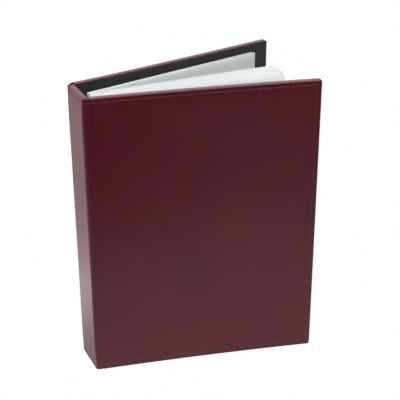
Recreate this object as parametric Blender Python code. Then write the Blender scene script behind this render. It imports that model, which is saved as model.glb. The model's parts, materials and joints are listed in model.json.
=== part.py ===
"""Coin album: a padded leatherette binder with clear pocket sheets on a four-ring mechanism.

Metres, +Z up. The album stands on its bottom edge. The origin is the middle of the spine's
bottom edge, +X points from the spine towards the fore-edge and +Y from the front cover to the
back cover. The front cover stands a little more open than the back cover.
"""

import math

import bmesh
import bpy
from mathutils import Matrix, Vector

MM = 0.001

# Case: three padded panels of the same thickness, joined by two flexible strips.
HEIGHT = 265 * MM
COVER_WIDTH = 200 * MM
SPINE_WIDTH = 35.6 * MM
CASE_THICKNESS = 5.8 * MM
SKIN = 0.8 * MM
PADDING = 1.5 * MM
BOARD = 2.0 * MM
LINING = 0.6 * MM
FIT_GAP = 0.3 * MM
HINGE_STRIP = 6.6 * MM
SPINE_SETBACK = 1.5 * MM
CORNER_RADIUS = 2.0 * MM
EDGE_RADIUS = 0.5 * MM
FRONT_OPEN = math.radians(13.5)
BACK_OPEN = math.radians(8.4)
SPINE_OUTSIDE = -CASE_THICKNESS / 2
SPINE_INSIDE = CASE_THICKNESS / 2

# Top-stitching: a thread laid a little way in from the edges.
STITCH_INSET = 4.0 * MM
THREAD_WIDTH = 0.5 * MM
THREAD_HEIGHT = 0.3 * MM
THREAD_LIFT = 0.1 * MM
THREAD_CORNER = 1.7 * MM

# Ring mechanism, on the inside of the spine.
RING_COUNT = 4
RING_PITCH = 50 * MM
RING_MIDDLE = HEIGHT / 2 + 1.0 * MM
RING_RADIUS = 8.3 * MM
WIRE_RADIUS = 1.1 * MM
RING_CENTRE_X = SPINE_INSIDE + 6.8 * MM
WIRE_END_ANGLE = math.radians(128)
MECHANISM_BASE = SPINE_INSIDE + FIT_GAP
SHELL_HALF_WIDTH = 9.9 * MM
SHELL_LENGTH = 180 * MM
SHELL_HEIGHT = 3.1 * MM
SHELL_SHOULDER = 1.3 * MM
SHELL_METAL = 0.6 * MM
TONGUE_LENGTH = 12 * MM
TONGUE_HALF_WIDTH = 6.0 * MM
NOTCH_NEAR = 4.3 * MM
NOTCH_FAR = 9.3 * MM
NOTCH_HALF_HEIGHT = 1.8 * MM
BLADE_LENGTH = 172 * MM
BLADE_THICKNESS = 0.7 * MM
BLADE_EDGE = 9.0 * MM
BLADE_HOLE = 1.5 * MM
RIVET_RADIUS = 1.8 * MM
RIVET_HEAD_RADIUS = 3.0 * MM
RIVET_HEAD = 0.9 * MM

# Pocket sheets. Each is a punched margin and a panel of pockets that flexes along a weld.
# The slack is how far a sheet has slid on its rings, away from the spine.
FRONT_SHEETS = 7
BACK_SHEETS = 3
SHEET_HEIGHT = 254 * MM
SHEET_THICKNESS = 0.4 * MM
HOLE_TO_EDGE = 7.2 * MM
HOLE_TO_WELD = 8.0 * MM
HOLE_TO_FORE_EDGE = 163.8 * MM
HOLE_RADIUS = 2.9 * MM
HOLE_INNER_REACH = 3.4 * MM
HOLE_OUTER_REACH = 6.2 * MM
SHEET_CORNER = 2.0 * MM
SHEET_MIDDLE = RING_MIDDLE
SHEET_DROOP = math.radians(0.5)
FRONT_OFFSETS = (-4.5 * MM, 1.5 * MM)
BACK_OFFSETS = (2.6 * MM, 4.5 * MM)
FRONT_SLACK = -1.6 * MM
BACK_SLACK = 0.0 * MM
FRONT_ANGLES = (math.radians(-10.7), math.radians(-0.2))
BACK_ANGLES = (math.radians(9.9), math.radians(10.3))

ROUND_STEPS = 16
WIRE_STEPS = 10
ARC_STEPS = 14
SHELL_STEPS = 16
CORNER_STEPS = 4
SHARP_ANGLE = math.radians(50)


def clear_scene():
    for item in list(bpy.data.objects):
        bpy.data.objects.remove(item, do_unlink=True)


def make_material(name, colour, roughness, metallic=0.0, alpha=1.0):
    material = bpy.data.materials.new(name)
    material.use_nodes = True
    shader = material.node_tree.nodes["Principled BSDF"]
    shader.inputs["Base Color"].default_value = (*colour, 1.0)
    shader.inputs["Roughness"].default_value = roughness
    shader.inputs["Metallic"].default_value = metallic
    shader.inputs["Alpha"].default_value = alpha
    return material


def make_materials():
    return {
        "leather": make_material("leatherette", (0.075, 0.012, 0.020), 0.42),
        "lining": make_material("lining", (0.022, 0.025, 0.024), 0.85),
        "thread": make_material("thread", (0.16, 0.05, 0.065), 0.7),
        "foam": make_material("foam", (0.70, 0.68, 0.62), 0.95),
        "board": make_material("greyboard", (0.33, 0.31, 0.28), 0.9),
        "steel": make_material("nickel_steel", (0.72, 0.72, 0.72), 0.22, metallic=1.0),
        "film": make_material("clear_film", (0.88, 0.91, 0.92), 0.15, alpha=0.35),
    }


def make_anchor(name, place, angle=0.0):
    """An empty on a joint's axis. Its X runs along the panel that it carries."""
    anchor = bpy.data.objects.new(name, None)
    bpy.context.collection.objects.link(anchor)
    anchor.location = place
    anchor.rotation_euler = (0.0, 0.0, angle)
    return anchor


def add_object(name, mesh, material, parent=None):
    item = bpy.data.objects.new(name, mesh)
    bpy.context.collection.objects.link(item)
    if not mesh.materials:
        mesh.materials.append(material)
    item.parent = parent
    return item


def box_mesh(name, low, high):
    """A box between two corners."""
    shape = bmesh.new()
    bmesh.ops.create_cube(shape, size=1.0)
    low, high = Vector(low), Vector(high)
    size = high - low
    bmesh.ops.scale(shape, vec=size, verts=shape.verts)
    bmesh.ops.translate(shape, vec=(low + high) / 2, verts=shape.verts)
    return finish_mesh(name, shape)


def finish_mesh(name, shape):
    bmesh.ops.recalc_face_normals(shape, faces=shape.faces)
    mesh = bpy.data.meshes.new(name)
    shape.to_mesh(mesh)
    shape.free()
    return mesh


def shade_round(mesh):
    mesh.shade_smooth()
    mesh.set_sharp_from_angle(angle=SHARP_ANGLE)
    return mesh


def rectangle(low, high):
    return [low, (high[0], low[1]), high, (low[0], high[1])]


def rounded_rectangle(low, high, radius):
    """Corner-rounded outline in a plane, anticlockwise, as (u, v) points."""
    corners = (
        (high[0] - radius, high[1] - radius, 0.0),
        (low[0] + radius, high[1] - radius, math.pi / 2),
        (low[0] + radius, low[1] + radius, math.pi),
        (high[0] - radius, low[1] + radius, 3 * math.pi / 2),
    )
    points = []
    for u, v, start in corners:
        for step in range(CORNER_STEPS + 1):
            angle = start + step / CORNER_STEPS * math.pi / 2
            points.append((u + radius * math.cos(angle), v + radius * math.sin(angle)))
    return points


def prism_mesh(name, outline, near, far, to_point):
    """A closed prism over an outline. to_point turns (u, v, depth) into a 3-D point."""
    shape = bmesh.new()
    rings = []
    for depth in (near, far):
        rings.append([shape.verts.new(to_point(u, v, depth)) for u, v in outline])
    count = len(outline)
    for index in range(count):
        following = (index + 1) % count
        shape.faces.new((rings[0][index], rings[0][following], rings[1][following], rings[1][index]))
    shape.faces.new(rings[0])
    shape.faces.new(rings[1])
    return finish_mesh(name, shape)


def panel_point(side):
    """Panel axes: u from the hinge to the fore-edge, v up, depth from the outer face inwards."""
    return lambda u, v, depth: (u, -side * depth, v)


def spine_point(u, v, depth):
    """Spine axes: u across the spine from front to back, v up, depth inwards."""
    return (SPINE_OUTSIDE + depth, u, v)


def tray_mesh(name, low, high, depth, to_point):
    """The outer skin: a shallow tray whose rim wraps the edges of the boards."""
    shape = bmesh.new()
    outer = rounded_rectangle(low, high, CORNER_RADIUS)
    inner_low = (low[0] + SKIN, low[1] + SKIN)
    inner_high = (high[0] - SKIN, high[1] - SKIN)
    inner = rounded_rectangle(inner_low, inner_high, CORNER_RADIUS - SKIN)
    face_low = (low[0] + EDGE_RADIUS, low[1] + EDGE_RADIUS)
    face_high = (high[0] - EDGE_RADIUS, high[1] - EDGE_RADIUS)
    face = rounded_rectangle(face_low, face_high, CORNER_RADIUS - EDGE_RADIUS)
    levels = ((face, 0.0), (outer, EDGE_RADIUS), (outer, depth), (inner, depth), (inner, SKIN))
    rings = [[shape.verts.new(to_point(u, v, w)) for u, v in outline] for outline, w in levels]
    count = len(outer)
    for lower, upper in zip(rings, rings[1:]):
        for index in range(count):
            following = (index + 1) % count
            shape.faces.new((lower[index], lower[following], upper[following], upper[index]))
    shape.faces.new(rings[0])
    shape.faces.new(rings[-1])
    return finish_mesh(name, shape)


def thread_edge(low, high, offset):
    """One edge of a thread that runs along the bottom, up the fore-edge and back along the top."""
    points = [(low[0], low[1] - offset)]
    radius = THREAD_CORNER + offset
    turns = ((low[1] + THREAD_CORNER, -math.pi / 2), (high[1] - THREAD_CORNER, 0.0))
    for centre_v, start in turns:
        for step in range(CORNER_STEPS + 1):
            angle = start + step / CORNER_STEPS * math.pi / 2
            u = high[0] - THREAD_CORNER + radius * math.cos(angle)
            points.append((u, centre_v + radius * math.sin(angle)))
    points.append((low[0], high[1] + offset))
    return points


def thread_mesh(name, low, high, to_point):
    """The thread of a cover's stitching, just above the skin."""
    half = THREAD_WIDTH / 2
    outline = thread_edge(low, high, half) + thread_edge(low, high, -half)[::-1]
    return prism_mesh(name, outline, -THREAD_LIFT - THREAD_HEIGHT, -THREAD_LIFT, to_point)


def case_layers(prefix, low, high, to_point, materials, parent):
    """Skin, padding, board and lining of one panel, from the outside in."""
    board_far = CASE_THICKNESS - LINING - FIT_GAP
    padding_near = SKIN + FIT_GAP
    board_near = board_far - BOARD
    inset = SKIN + FIT_GAP
    core_low = (low[0] + inset, low[1] + inset)
    core_high = (high[0] - inset, high[1] - inset)
    skin = tray_mesh(prefix + "_leather", low, high, board_far, to_point)
    core = rounded_rectangle(core_low, core_high, CORNER_RADIUS - SKIN)
    padding = prism_mesh(prefix + "_padding", core, padding_near, padding_near + PADDING, to_point)
    board = prism_mesh(prefix + "_board", core, board_near, board_far, to_point)
    sheet = rounded_rectangle(low, high, CORNER_RADIUS)
    lining = prism_mesh(prefix + "_lining", sheet, CASE_THICKNESS - LINING, CASE_THICKNESS, to_point)
    return {
        "leather": add_object(prefix + "_leather", skin, materials["leather"], parent),
        "padding": add_object(prefix + "_padding", padding, materials["foam"], parent),
        "board": add_object(prefix + "_board", board, materials["board"], parent),
        "lining": add_object(prefix + "_lining", lining, materials["lining"], parent),
    }


def make_cover(prefix, side, opened, materials):
    """One padded cover. side is -1 for the front cover and +1 for the back cover."""
    place = (SPINE_OUTSIDE, side * SPINE_WIDTH / 2, 0.0)
    hinge = make_anchor(prefix + "_hinge", place, side * opened)
    to_point = panel_point(side)
    low = (HINGE_STRIP, 0.0)
    high = (COVER_WIDTH, HEIGHT)
    case_layers(prefix, low, high, to_point, materials, hinge)
    thread_low = (low[0] + EDGE_RADIUS, low[1] + STITCH_INSET)
    thread_high = (high[0] - STITCH_INSET, high[1] - STITCH_INSET)
    thread = thread_mesh(prefix + "_stitching", thread_low, thread_high, to_point)
    add_object(prefix + "_stitching", thread, materials["thread"], hinge)
    strip_name = prefix + "_hinge_strip"
    ends = ((FIT_GAP, 0.0), (HINGE_STRIP - FIT_GAP, HEIGHT))
    strip = prism_mesh(strip_name, rectangle(*ends), 0.0, SKIN, to_point)
    add_object(strip_name, strip, materials["leather"], hinge)


def make_spine(materials):
    """The spine panel with its two short stitch lines. Returns its layers."""
    half = SPINE_WIDTH / 2 - SPINE_SETBACK
    layers = case_layers("spine", (-half, 0.0), (half, HEIGHT), spine_point, materials, None)
    reach = half - CORNER_RADIUS
    for name, level in (("top", HEIGHT - STITCH_INSET), ("bottom", STITCH_INSET)):
        low = (-reach, level - THREAD_WIDTH / 2)
        high = (reach, level + THREAD_WIDTH / 2)
        near = -THREAD_LIFT - THREAD_HEIGHT
        line = prism_mesh(f"spine_{name}_stitching", rectangle(low, high), near, -THREAD_LIFT, spine_point)
        add_object(f"spine_{name}_stitching", line, materials["thread"])
    return layers


def make_cutter(name, mesh):
    cutter = bpy.data.objects.new(name, mesh)
    bpy.context.collection.objects.link(cutter)
    cutter.hide_render = True
    cutter.display_type = "WIRE"
    return cutter


def add_boolean(item, other, operation):
    modifier = item.modifiers.new(other.name, "BOOLEAN")
    modifier.operation = operation
    modifier.object = other


def lathe_mesh(name, profile, centre):
    """A solid of revolution about an axis along X. profile lists (x, radius) from tip to tip."""
    shape = bmesh.new()
    rings = []
    for x, radius in profile:
        ring = []
        for step in range(ROUND_STEPS):
            angle = 2 * math.pi * step / ROUND_STEPS
            y = centre[0] + radius * math.cos(angle)
            z = centre[1] + radius * math.sin(angle)
            ring.append(shape.verts.new((x, y, z)))
        rings.append(ring)
    for lower, upper in zip(rings, rings[1:]):
        for index in range(ROUND_STEPS):
            following = (index + 1) % ROUND_STEPS
            shape.faces.new((lower[index], lower[following], upper[following], upper[index]))
    shape.faces.new(rings[0])
    shape.faces.new(rings[-1])
    return shade_round(finish_mesh(name, shape))


def shell_arch(half_width, rise):
    """The arch's outline across the spine, from one foot over the crown to the other, as (x, y)."""
    shoulder = MECHANISM_BASE + SHELL_SHOULDER
    points = [(MECHANISM_BASE, half_width)]
    for step in range(SHELL_STEPS + 1):
        angle = math.pi * step / SHELL_STEPS
        points.append((shoulder + rise * math.sin(angle), half_width * math.cos(angle)))
    points.append((MECHANISM_BASE, -half_width))
    return points


def across_point(x, y, z):
    """Plan axes: (x, y) in the ring's plane and the height as depth."""
    return (x, y, z)


def ring_levels():
    middle = (RING_COUNT - 1) / 2
    return [RING_MIDDLE + (index - middle) * RING_PITCH for index in range(RING_COUNT)]


def make_shell(materials):
    """The arched metal cover over the blades, with closed ends, fixing tongues and wire notches."""
    outer = shell_arch(SHELL_HALF_WIDTH, SHELL_HEIGHT - SHELL_SHOULDER)
    inner = shell_arch(SHELL_HALF_WIDTH - SHELL_METAL, SHELL_HEIGHT - SHELL_SHOULDER - SHELL_METAL)
    low = RING_MIDDLE - SHELL_LENGTH / 2
    high = RING_MIDDLE + SHELL_LENGTH / 2
    arch = prism_mesh("mechanism_shell", outer + inner[::-1], low, high, across_point)
    shell = add_object("mechanism_shell", arch, materials["steel"])
    for name, start, direction in (("lower", low, -1), ("upper", high, 1)):
        bounds = sorted((start, start - direction * SHELL_METAL))
        wall = make_cutter(f"{name}_end_wall", prism_mesh(f"{name}_end_wall", outer, *bounds, across_point))
        add_boolean(shell, wall, "UNION")
        bounds = sorted((start - direction * SHELL_METAL / 2, start + direction * TONGUE_LENGTH))
        tongue_low = (MECHANISM_BASE, -TONGUE_HALF_WIDTH, bounds[0])
        tongue_high = (MECHANISM_BASE + SHELL_METAL, TONGUE_HALF_WIDTH, bounds[1])
        tongue = make_cutter(f"{name}_tongue", box_mesh(f"{name}_tongue", tongue_low, tongue_high))
        add_boolean(shell, tongue, "UNION")
    for number, level in enumerate(ring_levels(), start=1):
        for side, label in ((-1, "front"), (1, "back")):
            reach = sorted((side * NOTCH_NEAR, side * NOTCH_FAR))
            notch_low = (MECHANISM_BASE + SHELL_METAL, reach[0], level - NOTCH_HALF_HEIGHT)
            notch_high = (MECHANISM_BASE + 2 * SHELL_HEIGHT, reach[1], level + NOTCH_HALF_HEIGHT)
            name = f"notch_{number}_{label}"
            add_boolean(shell, make_cutter(name, box_mesh(name, notch_low, notch_high)), "DIFFERENCE")
    return shell


def make_rivets(shell, spine, materials):
    """Two concealed rivets that hold the shell to the spine board, and their holes."""
    reach = SHELL_LENGTH / 2 + TONGUE_LENGTH / 2
    board_outside = SPINE_INSIDE - LINING - FIT_GAP - BOARD
    tail = board_outside - FIT_GAP
    seat = MECHANISM_BASE + SHELL_METAL + FIT_GAP
    profile = (
        (tail - RIVET_HEAD, RIVET_HEAD_RADIUS - FIT_GAP),
        (tail, RIVET_HEAD_RADIUS),
        (tail, RIVET_RADIUS),
        (seat, RIVET_RADIUS),
        (seat, RIVET_HEAD_RADIUS),
        (seat + RIVET_HEAD, RIVET_HEAD_RADIUS - FIT_GAP),
    )
    for name, direction in (("lower", -1), ("upper", 1)):
        centre = (0.0, RING_MIDDLE + direction * reach)
        add_object(f"{name}_rivet", lathe_mesh(f"{name}_rivet", profile, centre), materials["steel"])
        shank = ((tail, RIVET_RADIUS + FIT_GAP), (seat, RIVET_RADIUS + FIT_GAP))
        drill = make_cutter(f"{name}_drill", lathe_mesh(f"{name}_drill", shank, centre))
        for item in (shell, spine["board"], spine["lining"]):
            add_boolean(item, drill, "DIFFERENCE")
        room = RIVET_HEAD_RADIUS + FIT_GAP
        pocket = ((SPINE_OUTSIDE, room), (board_outside, room))
        recess = make_cutter(f"{name}_recess", lathe_mesh(f"{name}_recess", pocket, centre))
        add_boolean(spine["padding"], recess, "DIFFERENCE")


def wire_path(side):
    """Centre line of one half ring in plan: from its tip at the crown down into the blade."""
    start = FIT_GAP / 2 / RING_RADIUS
    points = []
    for step in range(ARC_STEPS + 1):
        angle = start + (WIRE_END_ANGLE - start) * step / ARC_STEPS
        x = RING_CENTRE_X + RING_RADIUS * math.cos(angle)
        points.append(Vector((x, side * RING_RADIUS * math.sin(angle))))
    points.append(Vector((MECHANISM_BASE + FIT_GAP / 3, points[-1].y)))
    return points


def wire_mesh(name, path):
    """A round wire along a path in the ring's plane, with flat ends."""
    shape = bmesh.new()
    rings = []
    for index, point in enumerate(path):
        before = path[max(index - 1, 0)]
        after = path[min(index + 1, len(path) - 1)]
        along = (after - before).normalized()
        across = Vector((-along.y, along.x))
        ring = []
        for step in range(WIRE_STEPS):
            angle = 2 * math.pi * step / WIRE_STEPS
            place = point + across * WIRE_RADIUS * math.cos(angle)
            ring.append(shape.verts.new((place.x, place.y, WIRE_RADIUS * math.sin(angle))))
        rings.append(ring)
    for lower, upper in zip(rings, rings[1:]):
        for step in range(WIRE_STEPS):
            following = (step + 1) % WIRE_STEPS
            shape.faces.new((lower[step], lower[following], upper[following], upper[step]))
    shape.faces.new(rings[0])
    shape.faces.new(rings[-1])
    return shade_round(finish_mesh(name, shape))


def make_ring_set(label, side, materials):
    """One blade and its half rings. They turn together about the blade's outer edge."""
    pivot = Vector((MECHANISM_BASE + BLADE_THICKNESS / 2, side * BLADE_EDGE, 0.0))
    anchor = make_anchor(f"{label}_blade_edge", pivot)
    reach = sorted((side * FIT_GAP / 2, side * BLADE_EDGE))
    blade_low = Vector((MECHANISM_BASE, reach[0], RING_MIDDLE - BLADE_LENGTH / 2))
    blade_high = Vector((MECHANISM_BASE + BLADE_THICKNESS, reach[1], RING_MIDDLE + BLADE_LENGTH / 2))
    mesh = box_mesh(f"{label}_blade", blade_low - pivot, blade_high - pivot)
    blade = add_object(f"{label}_blade", mesh, materials["steel"], anchor)
    path = wire_path(side)
    wire = wire_mesh(f"{label}_half_ring", [point - pivot.xy for point in path])
    sleeve_ends = (MECHANISM_BASE - BLADE_THICKNESS, MECHANISM_BASE + 2 * BLADE_THICKNESS)
    for number, level in enumerate(ring_levels(), start=1):
        ring = add_object(f"ring_{number}_{label}_half", wire, materials["steel"], anchor)
        ring.location.z = level
        profile = [(x, BLADE_HOLE) for x in sleeve_ends]
        name = f"blade_hole_{number}_{label}"
        drill = make_cutter(name, lathe_mesh(name, profile, (path[-1].y, level)))
        add_boolean(blade, drill, "DIFFERENCE")


def spread(ends, count):
    """Evenly spaced values from the first end to the last."""
    return [ends[0] + (ends[1] - ends[0]) * index / (count - 1) for index in range(count)]


def slot_mesh(name, levels):
    """The oblong punch of the ring holes, one closed body for each ring."""
    shape = bmesh.new()
    half = ROUND_STEPS // 2
    outer_centre = HOLE_OUTER_REACH - HOLE_RADIUS - HOLE_TO_WELD
    inner_centre = HOLE_RADIUS - HOLE_INNER_REACH - HOLE_TO_WELD
    for level in levels:
        outline = []
        for centre, start in ((outer_centre, -math.pi / 2), (inner_centre, math.pi / 2)):
            for step in range(half + 1):
                angle = start + math.pi * step / half
                u = centre + HOLE_RADIUS * math.cos(angle)
                v = level + HOLE_RADIUS * math.sin(angle)
                outline.append((u, v))
        rings = []
        for y in (-SHEET_THICKNESS, SHEET_THICKNESS):
            rings.append([shape.verts.new((u, y, v)) for u, v in outline])
        count = len(outline)
        for index in range(count):
            following = (index + 1) % count
            shape.faces.new((rings[0][index], rings[0][following], rings[1][following], rings[1][index]))
        shape.faces.new(rings[0])
        shape.faces.new(rings[1])
    return finish_mesh(name, shape)


def sheet_point(u, v, depth):
    """Sheet axes: u from the weld to the fore-edge, v up, depth through the film."""
    return (u, depth, v)


def make_sheets(materials):
    """All sheets. Each hangs on the rings by its margin, and its panel turns about the weld."""
    half_height = SHEET_HEIGHT / 2
    half = SHEET_THICKNESS / 2
    inner_edge = -(HOLE_TO_WELD + HOLE_TO_EDGE)
    margin_outline = rectangle((inner_edge, -half_height), (-FIT_GAP, half_height))
    margin_mesh = prism_mesh("margin", margin_outline, -half, half, sheet_point)
    far = HOLE_TO_FORE_EDGE - HOLE_TO_WELD
    panel_outline = rounded_rectangle((FIT_GAP, -half_height), (far, half_height), SHEET_CORNER)
    panel_mesh = prism_mesh("pockets", panel_outline, -half, half, sheet_point)
    holes = [level - SHEET_MIDDLE for level in ring_levels()]
    punch = slot_mesh("punch", holes)
    offsets = spread(FRONT_OFFSETS, FRONT_SHEETS) + spread(BACK_OFFSETS, BACK_SHEETS)
    angles = spread(FRONT_ANGLES, FRONT_SHEETS) + spread(BACK_ANGLES, BACK_SHEETS)
    slacks = [FRONT_SLACK] * FRONT_SHEETS + [BACK_SLACK] * BACK_SHEETS
    for number, (offset, angle, slack) in enumerate(zip(offsets, angles, slacks), start=1):
        to_hole = math.sqrt(RING_RADIUS**2 - offset**2) + slack
        turn = Matrix.Rotation(angle, 4, "Z")
        hole = Vector((RING_CENTRE_X, 0.0, SHEET_MIDDLE)) + turn @ Vector((to_hole, offset, 0.0))
        tilt = turn @ Matrix.Rotation(SHEET_DROOP, 4, "Y")
        weld = hole + tilt @ Vector((HOLE_TO_WELD, 0.0, 0.0))
        anchor = make_anchor(f"sheet_{number:02d}_weld", weld, angle)
        anchor.rotation_euler = (0.0, SHEET_DROOP, angle)
        margin = add_object(f"sheet_{number:02d}_margin", margin_mesh, materials["film"], anchor)
        add_object(f"sheet_{number:02d}_pockets", panel_mesh, materials["film"], anchor)
        cutter = make_cutter(f"sheet_{number:02d}_punch", punch)
        cutter.parent = anchor
        add_boolean(margin, cutter, "DIFFERENCE")


def main():
    clear_scene()
    materials = make_materials()
    spine = make_spine(materials)
    make_cover("front", -1, FRONT_OPEN, materials)
    make_cover("back", 1, BACK_OPEN, materials)
    shell = make_shell(materials)
    make_rivets(shell, spine, materials)
    make_ring_set("front", -1, materials)
    make_ring_set("back", 1, materials)
    make_sheets(materials)


main()
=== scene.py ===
"""Coin album: the finished look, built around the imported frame.

Every piece takes its place from the frame's joints and nodes. Lengths are in metres. The skins,
hinge strips, linings and stitches, the covers' boards and padding, and the sheets' pockets are
rebuilt as fine meshes. The metal mechanism, the spine's board and padding, and the sheets'
punched margins keep their CAD shapes and get new materials.
"""

import json
import math

import bmesh
import bpy
from mathutils import Matrix, Vector, noise


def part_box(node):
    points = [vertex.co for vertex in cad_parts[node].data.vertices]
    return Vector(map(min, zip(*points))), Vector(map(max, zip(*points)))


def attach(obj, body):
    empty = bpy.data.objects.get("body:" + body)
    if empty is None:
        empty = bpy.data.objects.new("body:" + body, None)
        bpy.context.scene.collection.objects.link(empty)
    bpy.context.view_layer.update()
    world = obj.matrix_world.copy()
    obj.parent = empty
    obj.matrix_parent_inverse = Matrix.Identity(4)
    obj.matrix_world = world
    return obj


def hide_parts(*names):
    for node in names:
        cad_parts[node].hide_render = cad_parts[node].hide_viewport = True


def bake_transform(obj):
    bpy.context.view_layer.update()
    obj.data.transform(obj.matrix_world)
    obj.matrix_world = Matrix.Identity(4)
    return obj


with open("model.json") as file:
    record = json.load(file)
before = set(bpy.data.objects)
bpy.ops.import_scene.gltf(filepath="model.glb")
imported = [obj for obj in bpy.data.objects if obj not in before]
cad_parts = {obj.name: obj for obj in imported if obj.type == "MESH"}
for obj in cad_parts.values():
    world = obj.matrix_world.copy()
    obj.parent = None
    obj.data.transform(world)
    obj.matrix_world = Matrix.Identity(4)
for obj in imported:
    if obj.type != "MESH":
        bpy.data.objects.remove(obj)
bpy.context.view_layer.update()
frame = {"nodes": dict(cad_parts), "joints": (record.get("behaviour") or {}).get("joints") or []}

MM = 0.001
JOINTS = {joint["name"]: joint for joint in frame["joints"]}

# ---------------------------------------------------------------- sizes read from the frame
SPINE_LOW, SPINE_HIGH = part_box("spine_leather")
LINING_LOW, LINING_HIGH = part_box("spine_lining")
HEIGHT = SPINE_HIGH.z
CASE = LINING_HIGH.x - SPINE_LOW.x
LINING = LINING_HIGH.x - LINING_LOW.x
SPINE_OUTSIDE = SPINE_LOW.x
SPINE_HALF = abs(JOINTS["front_cover_hinge"]["pos_m"][1])
SPINE_FLAT = SPINE_HIGH.y

# ---------------------------------------------------------------- soft shape of the case
# Rounds are radii of edges and corners. Insets are distances in from a panel's outline. Sinks,
# grooves and creases are depths below its flat face, and the crown is how far padding lifts it.
SKIN = 0.8 * MM
TOP_ROUND = 0.9 * MM
BOTTOM_ROUND = 0.5 * MM
FORE_ROUND = 1.8 * MM
FORE_PROUD = 0.7 * MM
HINGE_ROUND = 0.15 * MM
INNER_ROUND = 0.5 * MM
INNER_CUT = 0.3 * INNER_ROUND
CORNER_ROUND = 2.2 * MM
TURN_IN = 12.0 * MM
LINING_INSET = 0.35 * MM
LINING_FORE_INSET = 0.4 * MM
LINING_STEP = 0.25 * MM
FRONT_BOW = 1.5 * MM
BACK_BULGE = 3.6 * MM
BULGE_LOW = 0.15
BULGE_START = 4.0 * MM
BULGE_FADE = 48.0 * MM
CROWN = 0.30 * MM
CROWN_REACH = 7.0 * MM
EDGE_SINK = 0.25 * MM
BOTTOM_SINK = 0.05 * MM
SPINE_EDGE_SINK = 0.75 * MM
GROOVE_DEPTH = 0.32 * MM
SPINE_GROOVE_DEPTH = 0.95 * MM
GROOVE_WIDTH = 0.55 * MM
RIPPLE = 0.10 * MM
RIPPLE_SCALE = 22.0
STITCH_INSET = 4.0 * MM
STITCH_PITCH = 4.8 * MM
STITCH_LENGTH = 3.7 * MM
STITCH_WIDTH = 0.62 * MM
STITCH_HEIGHT = 0.42 * MM
STITCH_LIFT = 0.08 * MM
LOW_STITCH_LIFT = -0.08 * MM
STITCH_START = 0.3 * MM
STITCH_TURN = 1.2 * MM
STITCH_SIDES = 8
STITCH_STEPS = 8
STITCH_TAPER = 0.6
STITCH_DIVE = STITCH_HEIGHT / 3
CREASE_AT = 1.5 * MM
CREASE_DEPTH = 0.45 * MM
CREASE_WIDTH = 0.45 * MM
STRIP_SINK = 0.12 * MM
STRIP_SINK_WIDTH = 1.2 * MM
STRIP_THICKNESS = 1.1 * MM
STRIP_CORNER = 1.3 * MM
STRIP_ROUND = 0.5 * MM
STRIP_STEPS = (3, 8, 14)

LINING_BACK = CASE - LINING
BOARD_FAR = LINING_BACK - 0.3 * MM
BOARD_NEAR = BOARD_FAR - 2.0 * MM
BOARD_INSET = 1.6 * MM
PADDING_FAR = BOARD_NEAR - 0.1 * MM
PADDING_NEAR = 1.9 * MM
PADDING_INSET = 2.4 * MM
LINING_INSETS = (0.0, LINING_FORE_INSET, LINING_INSET)
BOARD_INSETS = (BOARD_INSET,) * 3
PADDING_INSETS = (PADDING_INSET,) * 3

SLAB_CORNER = 1.2 * MM
SLAB_CORNER_STEPS = 4
SLAB_STEPS = 20
EDGE_STEPS = 5
GRID_STEP = 4.0 * MM
FINE_STEP = 0.45 * MM
FINE_REACH = 6.5 * MM
SHARP_ANGLE = math.radians(40)


def smoothstep(value, low, high):
    share = min(1.0, max(0.0, (value - low) / (high - low)))
    return share * share * (3 - 2 * share)


def bell(distance, width):
    return math.exp(-((distance / width) ** 2))


# ---------------------------------------------------------------- materials
NOISE_SPAN = (0.3, 0.7)


class Nodes:
    """A small helper that adds and links the shader nodes of a material or a world."""

    def __init__(self, owner):
        owner.use_nodes = True
        self.owner = owner
        self.tree = owner.node_tree

    def add(self, kind, **settings):
        node = self.tree.nodes.new(kind)
        for key, value in settings.items():
            setattr(node, key, value)
        return node

    def link(self, source, target):
        self.tree.links.new(source, target)

    def feed(self, value, socket):
        """Gives a socket a number or another node's output."""
        if isinstance(value, (int, float)):
            socket.default_value = value
        else:
            self.link(value, socket)

    def range(self, source, low, high, out_low, out_high):
        """Carries the source from one span to another. It stops at the ends."""
        node = self.add("ShaderNodeMapRange")
        self.link(source, node.inputs["Value"])
        keys = ("From Min", "From Max", "To Min", "To Max")
        for key, value in zip(keys, (low, high, out_low, out_high)):
            self.feed(value, node.inputs[key])
        return node.outputs["Result"]

    def maths(self, operation, first, second):
        node = self.add("ShaderNodeMath", operation=operation)
        for socket, value in zip(node.inputs, (first, second)):
            self.feed(value, socket)
        return node.outputs["Value"]

    def white_to_camera(self, glow):
        """The given strength for light that falls on the album, and 1 for what the camera sees."""
        node = self.add("ShaderNodeMix", data_type="FLOAT")
        self.link(self.add("ShaderNodeLightPath").outputs["Is Camera Ray"], node.inputs["Factor"])
        self.link(glow, node.inputs["A"])
        node.inputs["B"].default_value = 1.0
        return node.outputs["Result"]


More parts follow.
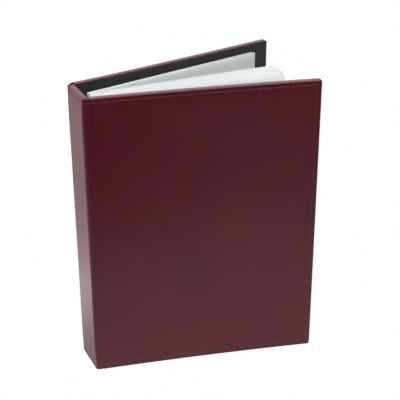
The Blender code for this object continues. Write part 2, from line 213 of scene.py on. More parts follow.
class MaterialNodes(Nodes):
    """The nodes of a new material round its Principled shader."""

    def __init__(self, name):
        super().__init__(bpy.data.materials.new(name))
        self.shader = self.tree.nodes["Principled BSDF"]
        self.output = self.tree.nodes["Material Output"]
        self.place = self.add("ShaderNodeTexCoord").outputs["Object"]

    def give(self, name, value):
        """Sets or drives one of the Principled shader's inputs."""
        self.feed(value, self.shader.inputs[name])

    def mapped(self, scale, location=(0.0, 0.0, 0.0)):
        """The place, stretched and moved."""
        node = self.add("ShaderNodeMapping")
        self.link(self.place, node.inputs["Vector"])
        node.inputs["Scale"].default_value = scale
        node.inputs["Location"].default_value = location
        return node.outputs["Vector"]

    def noise(self, scale, detail=3.0, roughness=0.5, place=None):
        node = self.add("ShaderNodeTexNoise")
        self.link(place or self.place, node.inputs["Vector"])
        node.inputs["Scale"].default_value = scale
        node.inputs["Detail"].default_value = detail
        node.inputs["Roughness"].default_value = roughness
        return node.outputs["Fac"]

    def wave(self, direction, scale):
        node = self.add("ShaderNodeTexWave", wave_type="BANDS", bands_direction=direction)
        self.link(self.place, node.inputs["Vector"])
        node.inputs["Scale"].default_value = scale
        return node.outputs["Fac"]

    def ramp(self, source, colours, span=NOISE_SPAN):
        """A colour between the two given, as the source crosses the span."""
        node = self.add("ShaderNodeValToRGB")
        self.link(source, node.inputs["Fac"])
        for element, position, colour in zip(node.color_ramp.elements, span, colours):
            element.position = position
            element.color = (*colour, 1.0)
        return node.outputs["Color"]

    def mix(self, share, first, second):
        node = self.add("ShaderNodeMixShader")
        self.feed(share, node.inputs["Fac"])
        self.link(first, node.inputs[1])
        self.link(second, node.inputs[2])
        return node.outputs["Shader"]

    def bump(self, height, strength, distance):
        node = self.add("ShaderNodeBump")
        self.link(height, node.inputs["Height"])
        node.inputs["Strength"].default_value = strength
        node.inputs["Distance"].default_value = distance
        self.link(node.outputs["Normal"], self.shader.inputs["Normal"])


GRAIN_SCALE = 1300.0
FINE_GRAIN_SCALE = 2600.0
FINE_GRAIN_SHARE = 0.35
WEAVE_SCALE = 320.0
TWIST_SCALE = 700.0
DRAWING_SCALE = 2500.0
DRAWING_STRETCH = (1.0, 1.0, 0.03)
STREAK_SCALE = 70.0
STREAK_STRETCH = (0.15, 0.15, 1.0)
FILM_MILK = 0.72
WELD_MILK = 0.77
GLANCING_MILK = 0.45
LIGHT_THROUGH = 0.45

MAROON = ((0.101, 0.0080, 0.0180), (0.127, 0.0108, 0.0240))
CHARCOAL = ((0.022, 0.0247, 0.0238), (0.029, 0.0320, 0.0306))
# The thread's own maroon, and the pink of painted highlights on the ridges of its twist.
THREAD_MAROON_AND_HIGHLIGHT = ((0.19, 0.045, 0.062), (0.33, 0.105, 0.135))
FOAM_CREAM = ((0.50, 0.48, 0.42), (0.66, 0.64, 0.58))
BOARD_GREY = ((0.20, 0.19, 0.17), (0.32, 0.30, 0.27))
NICKEL_GREY = ((0.60, 0.60, 0.59), (0.74, 0.74, 0.72))
FILM_TINT = (0.958, 0.966, 0.967)
WELD_TINT = (0.962, 0.970, 0.971)
CLEAR_TINT = (0.955, 0.975, 0.975)


def leatherette_material():
    """Maroon leatherette: fine pebbled grain, soft satin shine, slight cloudiness."""
    nodes = MaterialNodes("maroon_leatherette")
    clouds = nodes.noise(scale=14.0, detail=4.0, roughness=0.6)
    nodes.give("Base Color", nodes.ramp(clouds, MAROON))
    cells = nodes.add("ShaderNodeTexVoronoi", feature="SMOOTH_F1")
    nodes.link(nodes.place, cells.inputs["Vector"])
    cells.inputs["Scale"].default_value = GRAIN_SCALE
    fine = nodes.noise(FINE_GRAIN_SCALE, detail=2.0)
    fine = nodes.maths("MULTIPLY", fine, FINE_GRAIN_SHARE)
    grain = nodes.maths("ADD", cells.outputs["Distance"], fine)
    nodes.bump(grain, strength=0.25, distance=0.12 * MM)
    patches = nodes.noise(scale=30.0)
    nodes.give("Roughness", nodes.range(patches, *NOISE_SPAN, out_low=0.29, out_high=0.33))
    nodes.give("Specular IOR Level", 0.43)
    return nodes.owner


def lining_material():
    """Charcoal lining paper with a fine woven emboss."""
    nodes = MaterialNodes("charcoal_lining")
    nodes.give("Base Color", nodes.ramp(nodes.noise(scale=60.0, detail=5.0), CHARCOAL))
    threads = [nodes.wave(direction, WEAVE_SCALE) for direction in ("Z", "DIAGONAL")]
    nodes.bump(nodes.maths("ADD", *threads), strength=0.3, distance=0.1 * MM)
    nodes.give("Roughness", 0.72)
    return nodes.owner


def thread_material():
    """Maroon sewing thread with a twist. Its colour is lighter than the leatherette, with painted
    highlights on the twist's ridges and painted shade in its grooves.
    """
    nodes = MaterialNodes("maroon_thread")
    twist_and_painted_light = nodes.wave("DIAGONAL", TWIST_SCALE)
    # Painted highlight and shade: the colour follows the twist, pink on its ridges and dark maroon
    # in its grooves.
    nodes.give("Base Color", nodes.ramp(twist_and_painted_light, THREAD_MAROON_AND_HIGHLIGHT, span=(0.2, 0.8)))
    nodes.bump(twist_and_painted_light, strength=0.5, distance=0.1 * MM)
    nodes.give("Roughness", 0.7)
    nodes.give("Specular IOR Level", 0.25)
    return nodes.owner


def fibre_material(name, colours, scale):
    """Dull fibres or foam inside the case, at a given fineness."""
    nodes = MaterialNodes(name)
    fibres = nodes.noise(scale, detail=6.0, roughness=0.7)
    nodes.give("Base Color", nodes.ramp(fibres, colours))
    nodes.bump(fibres, strength=0.4, distance=0.2 * MM)
    nodes.give("Roughness", 0.95)
    return nodes.owner


def nickel_material():
    """Bright nickel-plated steel with faint drawing lines."""
    nodes = MaterialNodes("nickel_plate")
    lines = nodes.noise(DRAWING_SCALE, detail=2.0, place=nodes.mapped(DRAWING_STRETCH))
    nodes.give("Roughness", nodes.range(lines, *NOISE_SPAN, out_low=0.16, out_high=0.26))
    nodes.give("Base Color", nodes.ramp(lines, NICKEL_GREY))
    nodes.bump(lines, strength=0.08, distance=0.05 * MM)
    nodes.give("Metallic", 1.0)
    return nodes.owner


def film_material(name, milk, tint):
    """Clear plastic film: milky, more so at a glancing angle, with long faint level streaks."""
    nodes = MaterialNodes(name)
    streaks = nodes.noise(STREAK_SCALE, detail=2.0, place=nodes.mapped(STREAK_STRETCH))
    nodes.bump(streaks, strength=0.12, distance=0.5 * MM)
    nodes.shader.inputs["Base Color"].default_value = (*tint, 1.0)
    nodes.give("Roughness", 0.22)
    clear = nodes.add("ShaderNodeBsdfTransparent")
    clear.inputs["Color"].default_value = (*CLEAR_TINT, 1.0)
    through = nodes.add("ShaderNodeBsdfTranslucent")
    through.inputs["Color"].default_value = (*tint, 1.0)
    milky = nodes.mix(LIGHT_THROUGH, nodes.shader.outputs["BSDF"], through.outputs["BSDF"])
    facing = nodes.add("ShaderNodeLayerWeight").outputs["Facing"]
    cover = nodes.range(facing, 0.0, 1.0, milk, min(1.0, milk + GLANCING_MILK))
    variation = nodes.range(streaks, *NOISE_SPAN, out_low=0.94, out_high=1.06)
    share = nodes.maths("MULTIPLY", cover, variation)
    nodes.link(nodes.mix(share, clear.outputs["BSDF"], milky), nodes.output.inputs["Surface"])
    return nodes.owner


LEATHERETTE = leatherette_material()
LINING_PAPER = lining_material()
THREAD = thread_material()
FOAM = fibre_material("foam_padding", FOAM_CREAM, scale=900.0)
GREYBOARD = fibre_material("greyboard", BOARD_GREY, scale=500.0)
NICKEL = nickel_material()
FILM = film_material("clear_film", FILM_MILK, FILM_TINT)
FILM_EDGE = film_material("film_weld", WELD_MILK, WELD_TINT)


# ---------------------------------------------------------------- mesh helpers
def add_piece(name, shape, materials):
    """Turns a bmesh into a smooth-shaded object with the given materials."""
    bmesh.ops.recalc_face_normals(shape, faces=shape.faces)
    mesh = bpy.data.meshes.new(name)
    shape.to_mesh(mesh)
    shape.free()
    for material in materials:
        mesh.materials.append(material)
    mesh.shade_smooth()
    mesh.set_sharp_from_angle(angle=SHARP_ANGLE)
    piece = bpy.data.objects.new(name, mesh)
    bpy.context.scene.collection.objects.link(piece)
    return piece


def fine_lines(low, high, low_round, high_round):
    """Grid lines from low to high: close together round both edges, GRID_STEP apart between."""
    lines = set()
    for edge, direction, radius in ((low, 1, low_round), (high, -1, high_round)):
        for step in range(EDGE_STEPS):
            lines.add(edge + direction * radius * (1 - math.cos(step / EDGE_STEPS * math.pi / 2)))
        count = round((FINE_REACH - radius) / FINE_STEP)
        for step in range(count + 1):
            lines.add(edge + direction * (radius + (FINE_REACH - radius) * step / count))
    start, end = low + FINE_REACH, high - FINE_REACH
    count = max(1, round((end - start) / GRID_STEP))
    for step in range(1, count):
        lines.add(start + (end - start) * step / count)
    return sorted(lines)


def slab_lines(low, high):
    """Grid lines from low to high: close together at the rounded corners, even between."""
    corner = [SLAB_CORNER * step / SLAB_CORNER_STEPS for step in range(SLAB_CORNER_STEPS)]
    middle = high - low - 2 * SLAB_CORNER
    lines = [low + inset for inset in corner]
    lines += [low + SLAB_CORNER + middle * step / SLAB_STEPS for step in range(SLAB_STEPS)]
    lines += [high - SLAB_CORNER + inset for inset in corner]
    return [*lines, high]


def round_edge(inset, radius):
    """How far a rounded edge has fallen away at a distance in from the outline."""
    if inset >= radius:
        return 0.0
    return radius - math.sqrt(max(0.0, radius**2 - (radius - inset) ** 2))


def bridge(shape, first, second):
    """Joins two closed loops of vertices with quads."""
    count = len(first)
    for index in range(count):
        following = (index + 1) % count
        shape.faces.new((first[index], first[following], second[following], second[index]))


def loop_round(grid):
    """The outer loop of vertices of a grid, in order."""
    last = len(grid) - 1
    top = len(grid[0]) - 1
    loop = [grid[i][0] for i in range(last)]
    loop += [grid[last][j] for j in range(top)]
    loop += [grid[i][top] for i in range(last, 0, -1)]
    loop += [grid[0][j] for j in range(top, 0, -1)]
    return loop


def grid_faces(shape, grid):
    for i in range(len(grid) - 1):
        for j in range(len(grid[0]) - 1):
            shape.faces.new((grid[i][j], grid[i + 1][j], grid[i + 1][j + 1], grid[i][j + 1]))


# ---------------------------------------------------------------- the case's panels
class Panel:
    """A flat panel of the case. u runs across it, v up it and depth into it from its outer face.

    A cover runs from its hinge to its fore-edge. The spine has a hinge on both sides.
    """

    def __init__(self, prefix, body, place, near, far):
        self.prefix = prefix
        self.body = body
        self.place = place
        self.near = near
        self.far = far
        self.is_spine = prefix == "spine"

    def bow(self, u, v):
        """How far the whole panel is warped inwards: the front cover is hollow between hinge and
        fore-edge, and the back cover bulges out near the top of the hinge."""
        if self.prefix == "front":
            share = max(0.0, u - self.near) / (self.far - self.near)
            return FRONT_BOW * 4 * share * (1 - share)
        if self.prefix == "back":
            raised = smoothstep(v, HEIGHT * BULGE_LOW, HEIGHT)
            along = (1 - bell(u, BULGE_START)) * math.exp(-u / BULGE_FADE)
            return -BACK_BULGE * raised * along
        return 0.0

    def insets(self, u, v):
        """Distances to the near edge, the far edge and the nearer of top and bottom."""
        return u - self.near, self.far - u, min(v, HEIGHT - v)

    def rounded(self, u, v, radius, fore_inset=0.0, inset=0.0):
        """Moves a grid point so that a cover's corners at the fore-edge are round."""
        if self.is_spine:
            return u, v
        far = self.far - fore_inset
        for edge, sign in ((HEIGHT - inset, 1), (inset, -1)):
            x = u - (far - radius)
            y = sign * (v - (edge - sign * radius))
            if x > 0 and y > 0:
                pull = max(x, y) / math.hypot(x, y)
                return far - (radius - x * pull), edge - sign * (radius - y * pull)
        return u, v

    def skin_depth(self, u, v):
        """Depth of the leatherette's surface: round edges, stitch groove, padding and ripples."""
        near, far, level = self.insets(u, v)
        edge_round = TOP_ROUND if v > HEIGHT / 2 else BOTTOM_ROUND
        depth = self.bow(u, v)
        if self.is_spine:
            stitched = level
            inner = level - STITCH_INSET
            depth += round_edge(level, edge_round)
            sink, groove = SPINE_EDGE_SINK, SPINE_GROOVE_DEPTH
        else:
            stitched = min(far, level)
            inner = min(stitched - STITCH_INSET, near)
            depth += max(round_edge(far, FORE_ROUND), round_edge(level, edge_round))
            depth += round_edge(near, HINGE_ROUND) + STRIP_SINK * bell(near, STRIP_SINK_WIDTH)
            sink, groove = EDGE_SINK, GROOVE_DEPTH
        if v < HEIGHT / 2 and level <= far:
            sink = BOTTOM_SINK
        depth += sink * (1 - smoothstep(stitched, 0.0, STITCH_INSET))
        depth += groove * bell(stitched - STITCH_INSET, GROOVE_WIDTH)
        swell = 1 - math.exp(-max(0.0, inner) / CROWN_REACH)
        ripple = noise.noise(Vector((u, v, self.place.translation.y)) * RIPPLE_SCALE)
        return depth - (CROWN + RIPPLE * ripple) * swell

    def shrunk(self, u, v, inset):
        """A point moved in from the outline. The hinge sides of a panel stay where they are."""
        if not self.is_spine:
            u = self.near + (u - self.near) * (1 - inset / (self.far - self.near))
        return u, HEIGHT / 2 + (v - HEIGHT / 2) * (1 - 2 * inset / HEIGHT)

    def point(self, u, v, depth):
        return self.place @ Vector((u, -depth, v))


def cover_panel(prefix, side):
    """Panel of a cover. Its local -Y points into the album, so the back cover is mirrored."""
    joint = JOINTS[f"{prefix}_cover_hinge"]
    opened = math.radians(-joint["range_deg"][0])
    place = Matrix.Translation(joint["pos_m"]) @ Matrix.Rotation(side * opened, 4, "Z")
    place = place @ Matrix.Diagonal((1.0, side, 1.0, 1.0))
    inverse = place.inverted()
    node = frame["nodes"][f"{prefix}_leather"]
    along = [(inverse @ vertex.co).x for vertex in node.data.vertices]
    return Panel(prefix, f"{prefix}_cover", place, min(along), max(along) + FORE_PROUD)


def spine_panel():
    """Panel of the spine: u is across the spine from front to back."""
    axes = Matrix(((0, -1, 0, SPINE_OUTSIDE), (1, 0, 0, 0), (0, 0, 1, 0), (0, 0, 0, 1)))
    return Panel("spine", "spine", axes, -SPINE_FLAT, SPINE_FLAT)


def make_skin(panel):
    """Leatherette of a panel: the outer face, the walls and the part turned in under the lining."""
    shape = bmesh.new()
    far_round = HINGE_ROUND if panel.is_spine else FORE_ROUND
    us = fine_lines(panel.near, panel.far, HINGE_ROUND, far_round)
    vs = fine_lines(0.0, HEIGHT, TOP_ROUND, TOP_ROUND)
    outer, inner, places = [], [], []
    for u in us:
        outer_row, inner_row, place_row = [], [], []
        for v in vs:
            flat = panel.rounded(u, v, CORNER_ROUND)
            depth = panel.skin_depth(u, v)
            outer_row.append(shape.verts.new(panel.point(*flat, depth)))
            inner_row.append(shape.verts.new(panel.point(*panel.shrunk(*flat, SKIN), depth + SKIN)))
            place_row.append(flat)
        outer.append(outer_row)
        inner.append(inner_row)
        places.append(place_row)
    grid_faces(shape, outer)
    grid_faces(shape, inner)
    turned = CASE - LINING_STEP
    steps = [(0.0, turned - INNER_ROUND), (INNER_CUT, turned - INNER_CUT)]
    steps += [(INNER_ROUND, turned), (TURN_IN, turned), (TURN_IN, turned - INNER_ROUND)]
    steps += [(SKIN, turned - INNER_ROUND)]
    previous = loop_round(outer)
    outline = loop_round(places)
    for inset, depth in steps:
        rim = []
        for flat in outline:
            u, v = panel.shrunk(*flat, inset)
            rim.append(shape.verts.new(panel.point(u, v, depth + panel.bow(u, v))))
        bridge(shape, previous, rim)
        previous = rim
    bridge(shape, previous, loop_round(inner))
    piece = add_piece(f"{panel.prefix}_skin", shape, [LEATHERETTE])
    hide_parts(f"{panel.prefix}_leather")
    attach(piece, panel.body)


def make_slab(panel, part, depths, insets, material):
    """A slab inside the case: padding, board or lining. insets: hinge side, fore-edge, ends."""
    shape = bmesh.new()
    hinge_inset, fore_inset, inset = insets
    far_inset = hinge_inset if panel.is_spine else fore_inset
    us = slab_lines(panel.near + hinge_inset, panel.far - far_inset)
    vs = slab_lines(inset, HEIGHT - inset)
    sides = []
    for depth in depths:
        grid = []
        for u in us:
            row = []
            for v in vs:
                flat = panel.rounded(u, v, SLAB_CORNER, fore_inset, inset)
                row.append(shape.verts.new(panel.point(*flat, depth + panel.bow(u, v))))
            grid.append(row)
        grid_faces(shape, grid)
        sides.append(loop_round(grid))
    bridge(shape, *sides)
    piece = add_piece(f"{panel.prefix}_{part}_layer", shape, [material])
    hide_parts(f"{panel.prefix}_{part}")
    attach(piece, panel.body)


# ---------------------------------------------------------------- stitching
def add_stitch(shape, centre, along, out):
    """One stitch: a plump thread that dives into the skin at both ends."""
    side = along.cross(out)
    rings = []
    for step in range(1, STITCH_STEPS):
        share = step / STITCH_STEPS
        reach = math.cos(share * math.pi)
        swell = math.sin(share * math.pi) ** STITCH_TAPER
        ring = []
        for index in range(STITCH_SIDES):
            angle = 2 * math.pi * index / STITCH_SIDES
            offset = along * reach * STITCH_LENGTH / 2
            offset += side * math.cos(angle) * swell * STITCH_WIDTH / 2
            offset += out * math.sin(angle) * swell * STITCH_HEIGHT / 2
            offset += out * (swell - 1) * STITCH_DIVE
            ring.append(shape.verts.new(centre + offset))
        rings.append(ring)
    for lower, upper in zip(rings, rings[1:]):
        bridge(shape, lower, upper)
    for ring in (rings[0], rings[-1]):
        shape.faces.new(ring)


def run_along(points, pitch):
    """Evenly spaced (place, direction) pairs along a polyline."""
    lengths = [0.0]
    for first, second in zip(points, points[1:]):
        lengths.append(lengths[-1] + (second - first).length)
    count = round(lengths[-1] / pitch)
    found = []
    for step in range(count):
        target = lengths[-1] * (step + 0.5) / count
        index = max(i for i, length in enumerate(lengths[:-1]) if length <= target)
        share = (target - lengths[index]) / (lengths[index + 1] - lengths[index])
        along = (points[index + 1] - points[index]).normalized()
        found.append((points[index].lerp(points[index + 1], share), along))
    return found


def stitch_line(shape, panel, path, lift=STITCH_LIFT):
    """Stitches along a path of (u, v) points, lying in the groove of the skin."""
    for place, along in run_along([Vector(point) for point in path], STITCH_PITCH):
        depth = panel.skin_depth(place.x, place.y) - lift
        centre = panel.point(place.x, place.y, depth)
        ahead = panel.point(place.x + along.x * MM, place.y + along.y * MM, depth)
        out = (panel.point(place.x, place.y, depth - MM) - centre).normalized()
        add_stitch(shape, centre, (ahead - centre).normalized(), out)


def make_cover_stitching(panel):
    """The run of stitches along the top, the fore-edge and the bottom of a cover."""
    shape = bmesh.new()
    start = panel.near + STITCH_START
    low, high = STITCH_INSET, HEIGHT - STITCH_INSET
    end = panel.far - STITCH_INSET
    turn = end - STITCH_TURN
    stitch_line(shape, panel, [(start, high), (turn, high), (end, high - STITCH_TURN)])
    fore_edge = [(end, high - STITCH_TURN), (end, low + STITCH_TURN)]
    stitch_line(shape, panel, fore_edge, LOW_STITCH_LIFT)
    bottom = [(end, low + STITCH_TURN), (turn, low), (start, low)]
    stitch_line(shape, panel, bottom, LOW_STITCH_LIFT)
    piece = add_piece(f"{panel.prefix}_stitches", shape, [THREAD])
    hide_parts(f"{panel.prefix}_stitching")
    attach(piece, panel.body)


def make_spine_stitching(panel):
    for end, level in (("top", HEIGHT - STITCH_INSET), ("bottom", STITCH_INSET)):
        shape = bmesh.new()
        stitch_line(shape, panel, [(panel.near, level), (panel.far, level)], LOW_STITCH_LIFT)
        piece = add_piece(f"spine_{end}_stitches", shape, [THREAD])
        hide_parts(f"spine_{end}_stitching")
        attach(piece, panel.body)


# ---------------------------------------------------------------- the bending strips
def strip_profile(cover, side):
    """The wrap's outer line in plan from the spine's face round the corner to the cover.

    Each entry is (point, outward direction, distance u along the cover), with z left at 0.
    """
    corner = Vector((SPINE_OUTSIDE, side * SPINE_HALF, 0.0))
    along_spine = Vector((0.0, side, 0.0))
    along_cover = (cover.place.to_3x3() @ Vector((1, 0, 0))).normalized()
    turn = along_spine.angle(along_cover)
    tangent = STRIP_CORNER * math.tan(turn / 2)
    out_spine = Vector((-1.0, 0.0, 0.0))
    out_cover = (cover.place.to_3x3() @ Vector((0, 1, 0))).normalized()
    spine_steps, arc_steps, cover_steps = STRIP_STEPS
    line = []
    flat_start = Vector((SPINE_OUTSIDE, side * SPINE_FLAT, 0.0))
    arc_start = corner - along_spine * tangent
    for step in range(spine_steps):
        line.append((flat_start.lerp(arc_start, step / spine_steps), out_spine, 0.0))
    centre = arc_start - out_spine * STRIP_CORNER
    for step in range(arc_steps + 1):
        angle = turn * step / arc_steps
        out = out_spine * math.cos(angle) + along_spine * math.sin(angle)
        line.append((centre + out * STRIP_CORNER, out, tangent * step / arc_steps))
    run = cover.near - tangent
    for step in range(1, cover_steps + 1):
        u = tangent + run * step / cover_steps
        sink = CREASE_DEPTH * bell(u - CREASE_AT - tangent / 2, CREASE_WIDTH)
        sink += STRIP_SINK * bell(cover.near - u, STRIP_SINK_WIDTH)
        line.append((corner + along_cover * u - out_cover * sink, out_cover, u))
    return line


def strip_sink(level):
    """How far the strip's outer face lies below the flat at a height from its nearer end."""
    sink = round_edge(level, STRIP_ROUND)
    sink += EDGE_SINK * (1 - smoothstep(level, 0.0, STITCH_INSET))
    return sink + GROOVE_DEPTH * bell(level - STITCH_INSET, GROOVE_WIDTH)


def strip_mesh(cover, profile):
    """The strip's outer and inner faces and its rim. The inner face shows lining paper between
    the turned-in ends."""
    shape = bmesh.new()
    vs = fine_lines(0.0, HEIGHT, STRIP_ROUND, STRIP_ROUND)
    outer, inner = [], []
    for point, out, u in profile:
        outer_row, inner_row = [], []
        for v in vs:
            base = point - out * cover.bow(u, v) + Vector((0, 0, v))
            outer_row.append(shape.verts.new(base - out * strip_sink(min(v, HEIGHT - v))))
            inner_row.append(shape.verts.new(base - out * STRIP_THICKNESS))
        outer.append(outer_row)
        inner.append(inner_row)
    grid_faces(shape, outer)
    outer_count = len(shape.faces)
    grid_faces(shape, inner)
    shape.faces.ensure_lookup_table()
    for face in shape.faces[outer_count:]:
        middle = face.calc_center_median().z
        face.material_index = 1 if TURN_IN < middle < HEIGHT - TURN_IN else 0
    bridge(shape, loop_round(outer), loop_round(inner))
    return shape


def strip_stitches(cover, profile):
    """The cover's top and bottom stitching, carried on over the flat of the strip."""
    shape = bmesh.new()
    flat = [entry for entry in profile if entry[2] > STRIP_CORNER]
    out = flat[-1][1]
    lift = out * (STITCH_LIFT - GROOVE_DEPTH)
    for level in (STITCH_INSET, HEIGHT - STITCH_INSET):
        height = Vector((0, 0, level))
        path = [point - out * cover.bow(u, level) + height for point, out, u in flat]
        for place, along in run_along(path, STITCH_PITCH):
            add_stitch(shape, place + lift, along, out)
    return shape


def make_strip(cover, side):
    """The thin strip of wrap between spine and cover."""
    profile = strip_profile(cover, side)
    name, materials = f"{cover.prefix}_hinge_wrap", [LEATHERETTE, LINING_PAPER]
    wrap = add_piece(name, strip_mesh(cover, profile), materials)
    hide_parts(f"{cover.prefix}_hinge_strip")
    name = f"{cover.prefix}_hinge_stitches"
    thread = add_piece(name, strip_stitches(cover, profile), [THREAD])
    for item in (wrap, thread):
        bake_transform(item)


# ---------------------------------------------------------------- pocket sheets
COLUMNS = 4
ROWS = 5
SEAM_HALF = 0.12 * MM
POCKET_HALF = 0.30 * MM
WELD_WIDTH = 1.0 * MM
WELD_LIMIT = 0.02
CELL_STEPS = 6
SWELL_REACH = 0.3
FILM_WAVE = 0.12 * MM
WAVES = 1.5
FLEX_REACH = 0.6 * MM
FLEX_HALF = 0.8 * SEAM_HALF
FLEX_STEPS = 8
RINGS = range(1, 5)
SHEETS = range(1, 11)
# By sheet number: how far its fore-edge bends sideways, drops and is drawn in.
CURLS = {7: 1.0 * MM, 6: 0.6 * MM, 1: -0.8 * MM}
SAGS = {7: 2.2 * MM, 6: 1.5 * MM, 5: 0.9 * MM, 4: 0.3 * MM, 1: 0.6 * MM, 9: 0.5 * MM, 10: 0.2 * MM}
TUCKS = {1: 3.0 * MM, 2: 2.2 * MM, 3: 1.1 * MM, 4: 0.3 * MM}


class Sheet:
    """A pocket sheet's axes: u from its hinge to its fore-edge, v up it, and through the film."""

    def __init__(self, number):
        self.name = f"sheet_{number:02d}"
        joint = JOINTS[f"{self.name}_turn"]
        node = frame["nodes"][f"{self.name}_pockets"]
        origin = Vector(joint["pos_m"])
        up = Vector(joint["axis"])
        up = up if up.z > 0 else -up
        corners = [vertex.co for vertex in node.data.vertices]
        centre = sum(corners, Vector()) / len(corners)
        along = centre - origin
        along = (along - up * along.dot(up)).normalized()
        across = up.cross(along)
        axes = Matrix((along, across, up)).transposed().to_4x4()
        self.place = Matrix.Translation(origin) @ axes
        inverse = self.place.inverted()
        local = [inverse @ corner for corner in corners]
        self.near = min(point.x for point in local)
        self.far = max(point.x for point in local)
        self.half = max(point.z for point in local)

    def point(self, u, v, across):
        return self.place @ Vector((u, across, v))

    def swell(self, u, v):
        """0 on a weld, 1 in the middle of a pocket."""
        across = pocket_swell(u, self.near, self.far, COLUMNS)
        return across * pocket_swell(v, -self.half, self.half, ROWS)

    def on_weld(self, place):
        """True for a place on the sheet's welds."""
        local = self.place.inverted() @ place
        across = pocket_swell(local.x, self.near, self.far, COLUMNS)
        return min(across, pocket_swell(local.z, -self.half, self.half, ROWS)) < WELD_LIMIT


def cell_lines(low, high, cells):
    """Grid lines over a row of pockets: a narrow weld between each pair, finer towards it."""
    pitch = (high - low) / cells
    lines = [low]
    for cell in range(cells):
        start = low + pitch * cell + WELD_WIDTH / 2
        end = low + pitch * (cell + 1) - WELD_WIDTH / 2
        for step in range(CELL_STEPS + 1):
            share = 0.5 - 0.5 * math.cos(math.pi * step / CELL_STEPS)
            lines.append(start + (end - start) * share)
    lines.append(high)
    return lines


def pocket_swell(value, low, high, cells):
    """0 on a weld across the sheet, 1 half way to the next."""
    pitch = (high - low) / cells
    inside = (value - low) % pitch
    nearest = min(inside, pitch - inside)
    return smoothstep(nearest, WELD_WIDTH / 2, pitch * SWELL_REACH)


def make_sheet(number):
    """The panel of pockets of one sheet, and the narrow film next to its margin.

    The sheet's curl, sag and tuck grow towards its fore-edge.
    """
    sheet = Sheet(number)
    curl, sag, tuck = (table.get(number, 0.0) for table in (CURLS, SAGS, TUCKS))
    shape = bmesh.new()
    us = cell_lines(sheet.near, sheet.far, COLUMNS)
    vs = cell_lines(-sheet.half, sheet.half, ROWS)
    length = sheet.far - sheet.near
    sides = []
    for sign in (1, -1):
        grid = []
        for u in us:
            row = []
            share = (u - sheet.near) / length
            wave = FILM_WAVE * share * math.sin(2 * math.pi * WAVES * share + number)
            for v in vs:
                half = SEAM_HALF + (POCKET_HALF - SEAM_HALF) * sheet.swell(u, v)
                bend = curl * share**3 + wave * (0.5 + v / sheet.half / 2)
                place = (u - tuck * share, v - sag * share**2, bend + sign * half)
                row.append(shape.verts.new(sheet.point(*place)))
            grid.append(row)
        grid_faces(shape, grid)
        sides.append(loop_round(grid))
    for face in shape.faces:
        face.material_index = 1 if sheet.on_weld(face.calc_center_median()) else 0
    flat_count = len(shape.faces)
    bridge(shape, *sides)
    shape.faces.ensure_lookup_table()
    for face in shape.faces[flat_count:]:
        face.material_index = 1
    piece = add_piece(f"{sheet.name}_pocket_panel", shape, [FILM, FILM_EDGE])
    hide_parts(f"{sheet.name}_pockets")
    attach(piece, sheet.name)
    make_bending_film(sheet)


def make_bending_film(sheet):
    """The narrow film between the punched margin and the pockets."""
    shape = bmesh.new()
    rims = []
    for sign in (1, -1):
        grid = []
        for step in range(FLEX_STEPS + 1):
            u = FLEX_REACH * (2 * step / FLEX_STEPS - 1)
            ends = (-sheet.half, sheet.half)
            grid.append([shape.verts.new(sheet.point(u, v, sign * FLEX_HALF)) for v in ends])
        grid_faces(shape, grid)
        rims.append(loop_round(grid))
    bridge(shape, *rims)
    piece = add_piece(f"{sheet.name}_flex", shape, [FILM_EDGE])
    start, end = sheet.point(-FLEX_REACH, 0, 0), sheet.point(FLEX_REACH, 0, 0)
    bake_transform(piece)


# ---------------------------------------------------------------- stage, light and camera
FLOOR_SIZE = 6.0
FLOOR_DROP = 0.3 * MM
LAMP_PLACE = (0.107, -0.60)
LAMP_REACH = 0.08
LAMP_GLOW = 2.6
# A ramp is a low and a high place or direction, then the value at each of them.
DARK_EDGE_RAMP = (-0.02, 0.19, -0.27, -0.62)
BRIGHT_EDGE_RAMP = (-0.02, 0.19, -0.205, -0.26)
FRONT_GLOW = (0.03, 0.69)
BEHIND_RAMP = (0.02, 0.11, 0.0, 0.8)
FAR_BEHIND_RAMP = (0.12, 0.26, 0.0, -0.72)
SKY_RAMP = (-0.45, 0.60, 0.07, 2.05)
HORIZON_RAMP = (0.60, 0.78, 0.0, -0.95)
LIGHT_TARGET = Vector((0.09, 0.0, 0.13))
CAMERA_PLACE = Vector((-0.2648, -0.7995, 0.6073))
CAMERA_TARGET = Vector((0.0905, -0.0404, 0.1642))
CAMERA_ROLL = math.radians(-0.21)
CAMERA_LENS = 99.82


def make_stage():
    """A plain white floor. The camera sees it pure white, without a shadow. The album is lit by
    a floor that is bright near it, brightest just behind it and dark in front. The dark starts
    further off on the right, and a small lamp glows in it."""
    bpy.ops.mesh.primitive_plane_add(size=FLOOR_SIZE, location=(0.0, 0.0, -FLOOR_DROP))
    floor = bpy.context.object
    floor.name = "floor"
    nodes = MaterialNodes("white_floor")
    split = nodes.add("ShaderNodeSeparateXYZ")
    nodes.link(nodes.place, split.inputs["Vector"])
    sideways, away = split.outputs["X"], split.outputs["Y"]
    dark_edge = nodes.range(sideways, *DARK_EDGE_RAMP)
    bright_edge = nodes.range(sideways, *BRIGHT_EDGE_RAMP)
    glow = nodes.range(away, dark_edge, bright_edge, *FRONT_GLOW)
    for ramp in (BEHIND_RAMP, FAR_BEHIND_RAMP):
        glow = nodes.maths("ADD", glow, nodes.range(away, *ramp))
    lamp = nodes.add("ShaderNodeTexGradient", gradient_type="SPHERICAL")
    offset = [-coordinate / LAMP_REACH for coordinate in LAMP_PLACE]
    nodes.link(nodes.mapped((1 / LAMP_REACH,) * 3, (*offset, 0.0)), lamp.inputs["Vector"])
    glow = nodes.maths("ADD", glow, nodes.maths("MULTIPLY", lamp.outputs["Fac"], LAMP_GLOW))
    light = nodes.add("ShaderNodeEmission")
    nodes.link(nodes.white_to_camera(glow), light.inputs["Strength"])
    nodes.link(light.outputs["Emission"], nodes.output.inputs["Surface"])
    floor.data.materials.append(nodes.owner)


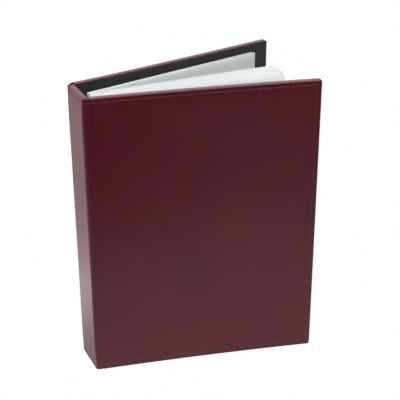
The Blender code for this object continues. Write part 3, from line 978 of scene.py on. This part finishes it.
def make_world():
    """White to the camera. The album is lit by a soft sky that grows from dark in front to
    bright behind, and dims again towards the horizon behind."""
    world = bpy.data.worlds.new("studio")
    bpy.context.scene.world = world
    nodes = Nodes(world)
    nodes.tree.nodes.clear()
    split = nodes.add("ShaderNodeSeparateXYZ")
    place = nodes.add("ShaderNodeTexCoord")
    nodes.link(place.outputs["Generated"], split.inputs["Vector"])
    ramps = [nodes.range(split.outputs["Y"], *ramp) for ramp in (SKY_RAMP, HORIZON_RAMP)]
    background = nodes.add("ShaderNodeBackground")
    background.inputs["Color"].default_value = (1.0, 1.0, 1.0, 1.0)
    strength = nodes.white_to_camera(nodes.maths("ADD", *ramps))
    nodes.link(strength, background.inputs["Strength"])
    output = nodes.add("ShaderNodeOutputWorld")
    nodes.link(background.outputs["Background"], output.inputs["Surface"])


def make_softbox(name, place, width, height, power):
    light = bpy.data.lights.new(name, "AREA")
    light.shape = "RECTANGLE"
    light.size = width
    light.size_y = height
    light.energy = power
    item = bpy.data.objects.new(name, light)
    bpy.context.scene.collection.objects.link(item)
    item.location = place
    aim = LIGHT_TARGET - Vector(place)
    item.rotation_euler = aim.to_track_quat("-Z", "Y").to_euler()


def make_lights():
    make_softbox("front_top", (0.25, -0.95, 1.50), width=1.0, height=0.7, power=16.0)
    make_softbox("left_rear", (-1.0, 0.6, 0.9), width=0.9, height=0.9, power=5.0)


def make_camera():
    camera_data = bpy.data.cameras.new("camera")
    camera_data.lens = CAMERA_LENS
    camera_data.sensor_width = 36.0
    camera_data.clip_start = 0.01
    camera = bpy.data.objects.new("camera", camera_data)
    bpy.context.scene.collection.objects.link(camera)
    camera.location = CAMERA_PLACE
    aim = (CAMERA_TARGET - CAMERA_PLACE).to_track_quat("-Z", "Y").to_matrix()
    camera.rotation_euler = (aim @ Matrix.Rotation(CAMERA_ROLL, 3, "Z")).to_euler()
    bpy.context.scene.camera = camera


# ---------------------------------------------------------------- the whole album
def make_case():
    """The covers and the spine with their layers and stitches, and the strips that join them."""
    covers = {side: cover_panel(prefix, side) for prefix, side in (("front", -1), ("back", 1))}
    spine = spine_panel()
    for panel in (*covers.values(), spine):
        make_skin(panel)
        make_slab(panel, "lining", (LINING_BACK, CASE), LINING_INSETS, LINING_PAPER)
    for panel in covers.values():
        depths = (BOARD_NEAR, BOARD_FAR)
        make_slab(panel, "board", depths, BOARD_INSETS, GREYBOARD)
        depths = (PADDING_NEAR, PADDING_FAR)
        make_slab(panel, "padding", depths, PADDING_INSETS, FOAM)
        make_cover_stitching(panel)
    make_spine_stitching(spine)
    for side, cover in covers.items():
        make_strip(cover, side)


def paint_nodes(names, material):
    """Gives CAD nodes a new material."""
    for name in names:
        mesh = frame["nodes"][name].data
        mesh.materials.clear()
        mesh.materials.append(material)


def paint_carried_nodes():
    """New materials for the nodes that keep their CAD shape."""
    metal = ["mechanism_shell", "lower_rivet", "upper_rivet", "front_blade", "back_blade"]
    metal += [f"ring_{number}_{side}_half" for number in RINGS for side in ("front", "back")]
    paint_nodes(metal, NICKEL)
    paint_nodes(["spine_board"], GREYBOARD)
    paint_nodes(["spine_padding"], FOAM)
    paint_nodes([f"sheet_{number:02d}_margin" for number in SHEETS], FILM)


make_case()
for number in SHEETS:
    make_sheet(number)
paint_carried_nodes()
make_stage()
make_world()
make_lights()
make_camera()
bpy.context.scene.view_settings.view_transform = "Standard"
